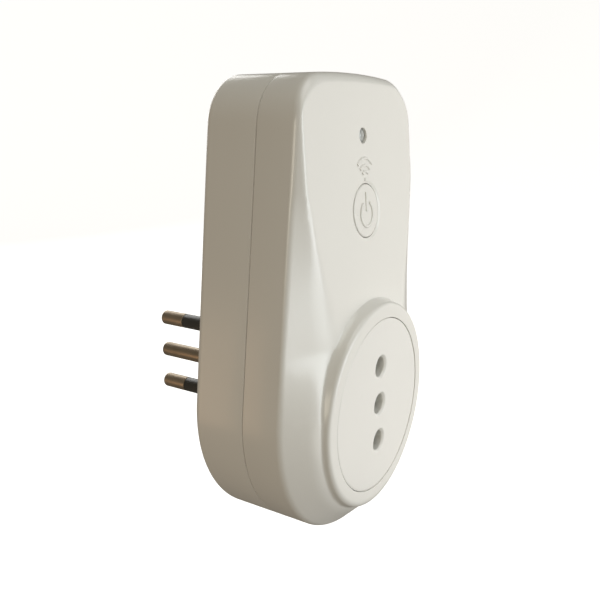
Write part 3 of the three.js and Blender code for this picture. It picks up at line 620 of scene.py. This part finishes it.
def rear_cover():
    """The rear shell: back with nose, rim with its groove, inner face, nose bore, and bosses."""
    patch = Patchwork()
    seam = SEAM_Y + SEAM_HALF
    patch.strip([lifted(outline(0), rear_y), at_depth(outline(0), -28), at_depth(outline(0), seam + 0.3),
                 at_depth(outline(0.04), seam + 0.06), at_depth(outline(0.14), seam),
                 at_depth(outline(LIP_INSET), seam), at_depth(outline(LIP_INSET), seam + GROOVE_DEPTH),
                 at_depth(outline(WALL), seam + GROOVE_DEPTH), at_depth(outline(WALL), REAR_INNER_Y)])

    # Rings of points stand closer together where the back bends.
    insets = (0.03, 0.09, 0.18, 0.32, 0.5, 0.75, 1.05, 1.4, 1.7, 2.0, 2.7)
    bends = [point for inset in insets for point in outline(inset)
             if min(math.dist(point, place) for place in HOUSING_SCREWS) > 4.2]
    nose = sorted([r for r, _ in NOSE_PROFILE[1:-1]] + [8.0, 8.3, 8.95])
    loops = [outline(0)] + [capsule(r) for r in nose]
    pin_rings = (3.0, 2.55, 2.47, 2.39, 2.33, PIN_HOLE_R)
    screw_rings = (3.9, 3.4, 3.25, 3.13, 3.04, SCREW_HOLE_R)
    loops += [circle(0, z, r, PIN_SIDES) for z in PIN_PLACES for r in pin_rings]
    loops += [circle(x, z, r, SCREW_SIDES) for x, z in HOUSING_SCREWS for r in screw_rings]
    for grow in (0.3, 0.1, 0.0, -0.12, -0.2, -0.5):
        loops.append(rectangle(LABEL_HALF[0] + grow, LABEL_HALF[1] + grow, LABEL_Z, LABEL_CORNER_R + grow))
    pin_holes = [(0, z) for z in PIN_PLACES]

    def clear(x, z):
        keep = (inset_of(x, z)[0] > REAR_FILLET + 1.8) & (spine_reach(x, z) > 14.8)
        keep &= np.abs(label_reach(x, z)) > 1.2
        for sx, sz in HOUSING_SCREWS:
            keep &= np.hypot(x - sx, z - sz) > 4.6
        return keep

    def kept(x, z):
        return (outside_holes(x, z, pin_holes, PIN_HOLE_R, PIN_SIDES)
                & outside_holes(x, z, HOUSING_SCREWS, SCREW_HOLE_R, SCREW_SIDES))

    fill(patch, loops, bends + grid(REAR_STEP, clear), kept, rear_y)

    bore = capsule(NOSE_BORE_R)
    bosses = [circle(x, z, SCREW_BOSS_R, SCREW_SIDES) for x, z in HOUSING_SCREWS]

    def kept_inside(x, z):
        return ((spine_reach(x, z) > NOSE_BORE_R * 0.998)
                & outside_holes(x, z, HOUSING_SCREWS, SCREW_BOSS_R, SCREW_SIDES))

    fill(patch, [outline(WALL), bore, *bosses], [], kept_inside, lambda x, z: REAR_INNER_Y + 0 * x)
    patch.strip([at_depth(bore, REAR_INNER_Y), at_depth(bore, -WALL)])
    holes = [circle(0, z, PIN_HOLE_R, PIN_SIDES) for z in PIN_PLACES]

    def kept_end(x, z):
        return outside_holes(x, z, pin_holes, PIN_HOLE_R, PIN_SIDES)

    fill(patch, [bore, *holes], [], kept_end, lambda x, z: -WALL + 0 * x)
    for hole in holes:
        patch.strip([lifted(hole, rear_y), at_depth(hole, -WALL)])
    for (x, z), boss in zip(HOUSING_SCREWS, bosses):
        steps = [(SCREW_HOLE_R, SCREW_SEAT_Y), (SCREW_SHANK_HOLE_R, SCREW_SEAT_Y),
                 (SCREW_SHANK_HOLE_R, REAR_BOSS_END_Y), (SCREW_BOSS_R, REAR_BOSS_END_Y)]
        patch.strip([lifted(circle(x, z, SCREW_HOLE_R, SCREW_SIDES), rear_y),
                     *[circle(x, z, r, SCREW_SIDES, y) for r, y in steps], at_depth(boss, REAR_INNER_Y)])
    for x, z in ((-19.5, 27.5), (19.5, 27.5), (0, 59)):
        tube(patch, x, z, 2.6, 1.3, REAR_INNER_Y + 0.2, -24.3, 24)
    patch.piece("rear_shell", "shell", "housing", ["rear_cover"])


# ------------------------------------------------------------ socket, controls, plug

def socket_insert():
    """The round disc in the collar, with three chamfered holes, its skirt and two screw posts."""
    patch = Patchwork()
    rings = (INSERT_R, 21.18, 21.13, 21.06, 20.98, 20.5)
    hole_rings = (3.9, 3.35, 3.2, 3.1, 2.95, 2.7, SOCKET_HOLE_R)
    chamfer_r, chamfer_depth = 3.1, 0.5
    places = [(0, z) for z in SOCKET_HOLES]

    def face_y(x, z):
        reach = np.hypot(x, z - SOCKET_Z)
        near = np.clip(reach - (INSERT_R - DISC_EDGE), 0, DISC_EDGE)
        y = INSERT_FACE_Y + DISC_EDGE - np.sqrt(DISC_EDGE ** 2 - near ** 2)
        for hole in SOCKET_HOLES:
            gap = np.hypot(x, z - hole)
            y = y + chamfer_depth * np.clip((chamfer_r - gap) / (chamfer_r - SOCKET_HOLE_R), 0, 1) ** 1.25
        return y

    def clear(x, z):
        keep = np.hypot(x, z - SOCKET_Z) < 20
        for hole in SOCKET_HOLES:
            keep &= np.hypot(x, z - hole) > 4.4
        return keep

    def kept(x, z):
        return outside_holes(x, z, places, SOCKET_HOLE_R, SOCKET_HOLE_SIDES)

    loops = [circle(0, SOCKET_Z, r, COLLAR_SIDES) for r in rings]
    loops += [circle(0, z, r, SOCKET_HOLE_SIDES) for z in SOCKET_HOLES for r in hole_rings]
    fill(patch, loops, grid(DISC_STEP, clear), kept, face_y)
    rim = circle(0, SOCKET_Z, INSERT_R, COLLAR_SIDES)
    holes = [circle(0, z, SOCKET_HOLE_R, SOCKET_HOLE_SIDES) for z in SOCKET_HOLES]
    fill(patch, [rim, *holes], [], kept, lambda x, z: INSERT_BACK_Y + 0 * x)
    for loop in (rim, *holes):
        patch.strip([lifted(loop, face_y), at_depth(loop, INSERT_BACK_Y)])
    rooted_y = INSERT_BACK_Y - 0.3
    tube(patch, 0, SOCKET_Z, LEDGE_R - GAP, SKIRT_IN_R, rooted_y, SKIRT_END_Y, 96)
    for side in (1, -1):
        tube(patch, 0, SOCKET_Z + 15.8 * side, 2.3, 1.3, rooted_y, -45.4, 24)
    patch.piece("socket_disc", "insert", "housing", ["socket_insert"])


def tongue_y(z):
    """The depth of the leaning tongue, where the symbols stand."""
    return EDGE_Y - TONGUE_SLOPE * (TOP_Z - z)


def raised_line(patch, points, width, height, body_y):
    """A low rounded rib that follows points (x, z) on the leaning tongue."""
    sides = 7
    loops = []
    for i, (x, z) in enumerate(points):
        ahead = points[min(i + 1, len(points) - 1)]
        behind = points[max(i - 1, 0)]
        dx, dz = ahead[0] - behind[0], ahead[1] - behind[1]
        size = math.hypot(dx, dz)
        nx, nz = -dz / size, dx / size
        loop = []
        for k in range(sides):
            a = math.pi * k / (sides - 1)
            off = 0.5 * width * math.cos(a)
            px, pz = x + nx * off, z + nz * off
            loop.append((px, body_y(pz) - height * math.sin(a), pz))
        for off in (-0.5, 0.5):
            px, pz = x + nx * off * width, z + nz * off * width
            loop.append((px, body_y(pz) + 0.25, pz))
        loops.append(loop)
    patch.strip(loops)
    for loop in (loops[0], loops[-1]):
        patch.fan(loop, tuple(sum(c) / len(loop) for c in zip(*loop)))


def arc_points(x, z, r, start, end, count=24):
    """Points of an arc between two angles in degrees, counted clockwise from straight up."""
    angles = [math.radians(start + (end - start) * i / count) for i in range(count + 1)]
    return [(x + r * math.sin(a), z + r * math.cos(a)) for a in angles]


def wireless_mark():
    """A generic wireless symbol: three arcs over a dot."""
    patch = Patchwork()
    for r in (4.8, 3.2, 1.8):
        raised_line(patch, arc_points(0, WAVES_Z, r, -46, 46), 0.7, MARK_RISE, tongue_y)
    raised_line(patch, [(0, WAVES_Z - 0.4), (0, WAVES_Z), (0, WAVES_Z + 0.3)], 0.8, MARK_RISE, tongue_y)
    patch.piece("wireless_mark", "shell", "housing")


def cap_y(z):
    """The depth of the button's leaning face."""
    return tongue_y(z) + CAP_SINK


def power_button():
    """The button's round cap with its flange and stem, and the power symbol on it."""
    patch = Patchwork()

    def face(r):
        near = max(0.0, r - (CAP_R - CAP_FILLET))
        drop = CAP_FILLET - math.sqrt(max(CAP_FILLET ** 2 - near ** 2, 0))
        return [(x, cap_y(z) + drop, z) for x, z in circle(0, BUTTON_Z, r, BUTTON_SIDES)]

    flange_r, flange_y, flange_back_y = 8.0, -41.5, -40.6
    stem_r, stem_end_y = 2.0, -39.9
    steps = [(CAP_R, flange_y), (flange_r, flange_y), (flange_r, flange_back_y),
             (stem_r, flange_back_y), (stem_r, stem_end_y)]
    rings = [face(r) for r in (1.5, 3.5, 5.0, 5.68, 5.78, 5.88, 5.98, 6.06, 6.11, CAP_R)]
    patch.strip(rings + [circle(0, BUTTON_Z, r, BUTTON_SIDES, y) for r, y in steps])
    patch.fan(rings[0], (0, cap_y(BUTTON_Z), BUTTON_Z))
    patch.fan(circle(0, BUTTON_Z, stem_r, BUTTON_SIDES, stem_end_y), (0, stem_end_y, BUTTON_Z))
    patch.piece("button_cap", "button", "button", ["power_button"])

    mark = Patchwork()
    middle, line_width = BUTTON_Z - 0.7, 0.75
    bar = [(0, middle + 0.6 + 0.4 * i) for i in range(12)]
    raised_line(mark, arc_points(0, middle, 2.9, 32, 328, 48), line_width, MARK_RISE, cap_y)
    raised_line(mark, bar, line_width, MARK_RISE, cap_y)
    mark.piece("power_mark", "button", "button")


def led_lens():
    """The status light's lens: a stepped light pipe with a shallow dome."""
    patch = Patchwork()
    dome_r, edge_y, dome_rise = 1.62, -42.7, 0.75
    dome = [(dome_r * math.cos(a), edge_y - dome_rise * math.sin(a)) for a in np.linspace(0, 1.45, 10)]
    lathe(patch, 0, LED_Z, [(0, -36.9), (1.4, -36.9), (1.4, -39.6), (2.6, -39.6), (2.6, -40.5),
                            (dome_r, -40.5), *dome, (0, edge_y - dome_rise)], 40)
    patch.piece("light_lens", "lens", "housing", ["led_lens"])


def pin_profile(sleeved):
    """A pin's turned profile as (radius, y), from its root in the carrier to its rounded tip."""
    neck = PIN_R - 0.7 if sleeved else PIN_R
    bare = SLEEVE_LENGTH + 0.15 if sleeved else -2.6
    tip = [(PIN_R - PIN_TIP_R * (1 - math.cos(a)), PIN_LENGTH - PIN_TIP_R + PIN_TIP_R * math.sin(a))
           for a in (math.pi / 2 * i / 8 for i in range(9))]
    root = [(0, -25.2), (1.2, -25.2), (1.2, -20), (1.5, -20), (1.5, -4.8)]
    collar = [(3, -4.8), (3, -2.6), (neck, -2.6)]
    middle = [(neck, bare), (PIN_R - 0.1, bare), (PIN_R, bare + 0.1)] if sleeved else []
    return root + collar + middle + tip + [(0, PIN_LENGTH)]


def plug_pins():
    """Three turned pins, the outer two with moulded sleeves."""
    sides = 56
    for name, z, sleeved in (("line_pin", PIN_PITCH, True), ("earth_pin", 0.0, False),
                             ("neutral_pin", -PIN_PITCH, True)):
        patch = Patchwork()
        lathe(patch, 0, z, pin_profile(sleeved), sides)
        patch.piece(f"{name}_turned", "nickel", "housing", [name])
        if sleeved:
            sleeve = Patchwork()
            end, root_y, bore_r = SLEEVE_LENGTH, -2.3, 1.6
            lathe(sleeve, 0, z, [(bore_r, root_y), (PIN_R, root_y), (PIN_R, end - 0.12), (1.93, end - 0.03),
                                 (1.8, end), (bore_r, end), (bore_r, root_y)], sides)
            sleeve.piece(f"{name}_sleeve_moulded", "sleeve", "housing", [f"{name}_sleeve"])


def cross_screw(name, x, z, head_y, seat_y, tip_y, head_r, shank_r, node):
    """A pan-head screw with a crossed recess sunk in its head, heads towards +Y."""
    patch = Patchwork()
    sides, arm, reach, floor = 48, 0.34, 1.6, head_y - 0.85

    def head(px, pz):
        return head_y - 0.35 * (np.hypot(px - x, pz - z) / head_r) ** 2

    plus = []
    for turn in range(4):
        c, s = math.cos(turn * math.pi / 2), math.sin(turn * math.pi / 2)
        for u, v in ((reach, -arm), (reach, arm), (arm, arm)):
            plus.append((x + u * c - v * s, z + u * s + v * c))
    narrow = [(x + (px - x) * 0.55, z + (pz - z) * 0.55) for px, pz in plus]
    rim = circle(x, z, head_r, sides)

    def kept(px, pz):
        u, v = np.abs(px - x), np.abs(pz - z)
        return ~(((u < reach) & (v < arm)) | ((v < reach) & (u < arm)))

    fill(patch, [rim, circle(x, z, head_r * 0.8, sides), plus], [], kept, head)
    patch.strip([lifted(plus, head), at_depth(narrow, floor)])
    patch.fan(at_depth(narrow, floor), (x, floor, z))
    rows = [(head_r, seat_y), (shank_r, seat_y)]
    pitch = 1.1
    turns = int((seat_y - tip_y - 2) / pitch)
    for k in range(turns):
        y = seat_y - 0.8 - k * pitch
        rows += [(shank_r * 0.8, y), (shank_r, y - 0.35 * pitch), (shank_r * 0.8, y - 0.7 * pitch)]
    rows += [(shank_r * 0.8, tip_y + 1.2), (0.3, tip_y)]
    patch.strip([lifted(rim, head)] + [circle(x, z, r, sides, y) for r, y in rows])
    patch.fan(circle(x, z, 0.3, sides, tip_y), (x, tip_y, z))
    patch.piece(name, "steel", "housing", [node], sharp=30)


def housing_screws():
    """The four screws that hold the covers together."""
    for i, (x, z) in enumerate(HOUSING_SCREWS):
        cross_screw(f"case_screw_{i + 1}", x, z, -22.7, -24.2, -38, 2.7, 1.35, f"housing_screw_{i + 1}")


def shutter_spring():
    """The spring behind the shutter, built at one length; on the real plug it shortens as the shutter
    slides.
    """
    start, end, y = 7.7, 16.5, -44.2
    r, wire, turns, wire_sides = 1.25, 0.25, 5, 10
    patch = Patchwork()
    loops = []
    steps = turns * 36
    for i in range(steps + 1):
        a = 2 * math.pi * i * turns / steps
        x = start + wire + (end - start - 2 * wire) * i / steps
        loop = []
        for k in range(wire_sides):
            b = 2 * math.pi * k / wire_sides
            reach = r + wire * math.cos(b)
            loop.append((x + wire * math.sin(b), y + reach * math.cos(a), SOCKET_Z + reach * math.sin(a)))
        loops.append(loop)
    patch.strip(loops)
    for loop in (loops[0], loops[-1]):
        patch.fan(loop, tuple(sum(c) / len(loop) for c in zip(*loop)))
    spring = patch.piece("shutter_coil", "steel", "housing", ["shutter_spring"])
    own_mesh(spring)


def finish_cad_nodes():
    """Every CAD node that still shows takes its slot's material."""
    slots = {row["node"]: row["material_slot"] for row in frame["record"]["subparts"]}
    for node, objects in frame["nodes"].items():
        for piece in objects if isinstance(objects, (list, tuple)) else [objects]:
            if not piece.data.materials:
                piece.data.materials.append(None)
            for place in piece.material_slots:
                place.material = MATERIALS[slots[node]]


# ------------------------------------------------------------ stage, lights, camera

def stage():
    """A pale round floor, 12 cm below the plug, that turns up into a pale wall all the way round.

    It glows a little so that it stays near white, and it neither lights the plug nor blocks its light.
    """
    low, flat_r, turn_r, sides = cad_box[0][2] - 0.12, 0.9, 0.5, 64
    profile = [(0.3, 0.0), (0.6, 0.0), (flat_r, 0.0)]
    for i in range(1, 13):
        a = math.pi / 2 * i / 12
        profile.append((flat_r + turn_r * math.sin(a), turn_r * (1 - math.cos(a))))
    profile.append((flat_r + turn_r, 3.0))
    points = [(0.0, 0.0, low)]
    for r, height in profile:
        for i in range(sides):
            a = 2 * math.pi * i / sides
            points.append((r * math.cos(a), r * math.sin(a), low + height))
    faces = [(0, 1 + i, 1 + (i + 1) % sides) for i in range(sides)]
    for row in range(len(profile) - 1):
        for i in range(sides):
            j = (i + 1) % sides
            here, above = 1 + row * sides, 1 + (row + 1) * sides
            faces.append((here + i, above + i, above + j, here + j))
    mesh = bpy.data.meshes.new("sweep")
    mesh.from_pydata(points, [], faces)
    mesh.shade_smooth()
    n = Nodes("sweep_white")
    n.set(Base_Color=(0.86, 0.86, 0.855, 1), Roughness=0.9, Emission_Color=(1, 1, 0.995, 1))
    n.set(Emission_Strength=0.78)
    mesh.materials.append(n.material)
    sweep = bpy.data.objects.new("sweep", mesh)
    sweep.visible_diffuse = False
    sweep.visible_glossy = False
    sweep.visible_shadow = False
    bpy.context.scene.collection.objects.link(sweep)


def area_light(name, place, target, size, power, color):
    """A rectangular soft light that faces a target."""
    data = bpy.data.lights.new(name, "AREA")
    data.shape, data.energy, data.color = "RECTANGLE", power, color
    data.size, data.size_y = size
    light = bpy.data.objects.new(name, data)
    light.location = place
    light.rotation_euler = (Vector(target) - Vector(place)).to_track_quat("-Z", "Y").to_euler()
    bpy.context.scene.collection.objects.link(light)


def lights():
    """A cool key from the front right, warm fill from the left, and weak light from all round."""
    target = (0, -0.035, 0.02)
    area_light("key", (0.26, -0.75, 0.07), target, (0.40, 0.50), 3.0, (0.90, 0.955, 0.98))
    area_light("panel", (0.55, -0.29, -0.06), target, (0.50, 0.60), 0.9, (1.0, 0.95, 0.88))
    area_light("top", (0.05, -0.30, 0.70), target, (0.5, 0.4), 1.35, (0.97, 1.0, 0.97))
    area_light("left", (-0.75, -0.20, 0.14), target, (0.18, 0.30), 1.05, (0.99, 0.92, 0.76))
    area_light("warm", (-0.15, 0.09, -0.04), target, (0.08, 0.08), 0.022, (1.0, 0.64, 0.38))
    area_light("low", (0.04, -0.30, -0.12), target, (0.30, 0.10), 0.12, (1.0, 0.97, 0.92))
    area_light("rear", (0.45, 0.75, 0.35), target, (0.6, 0.6), 2.6, (1.0, 1.0, 0.98))
    world = bpy.data.worlds.new("studio")
    world.use_nodes = True
    background = world.node_tree.nodes["Background"]
    background.inputs["Color"].default_value = (1.0, 0.90, 0.75, 1)
    background.inputs["Strength"].default_value = 0.17
    bpy.context.scene.world = world


def camera():
    """A camera near the front left, slightly above the plug's middle."""
    data = bpy.data.cameras.new("camera")
    data.sensor_width, data.lens = 36.0, 42.96
    data.shift_x, data.shift_y = 0.0134, -0.0217
    data.clip_start = 0.01
    eye = bpy.data.objects.new("camera", data)
    eye.location = (-0.14867, -0.11970, 0.06540)
    eye.rotation_euler = (math.radians(76.80), math.radians(-0.23), math.radians(-57.33))
    bpy.context.scene.collection.objects.link(eye)
    bpy.context.scene.camera = eye
    bpy.context.scene.view_settings.view_transform = "Standard"


camera()
lights()
stage()
finish_cad_nodes()
front_cover()
rear_cover()
socket_insert()
power_button()
wireless_mark()
led_lens()
plug_pins()
housing_screws()
shutter_spring()
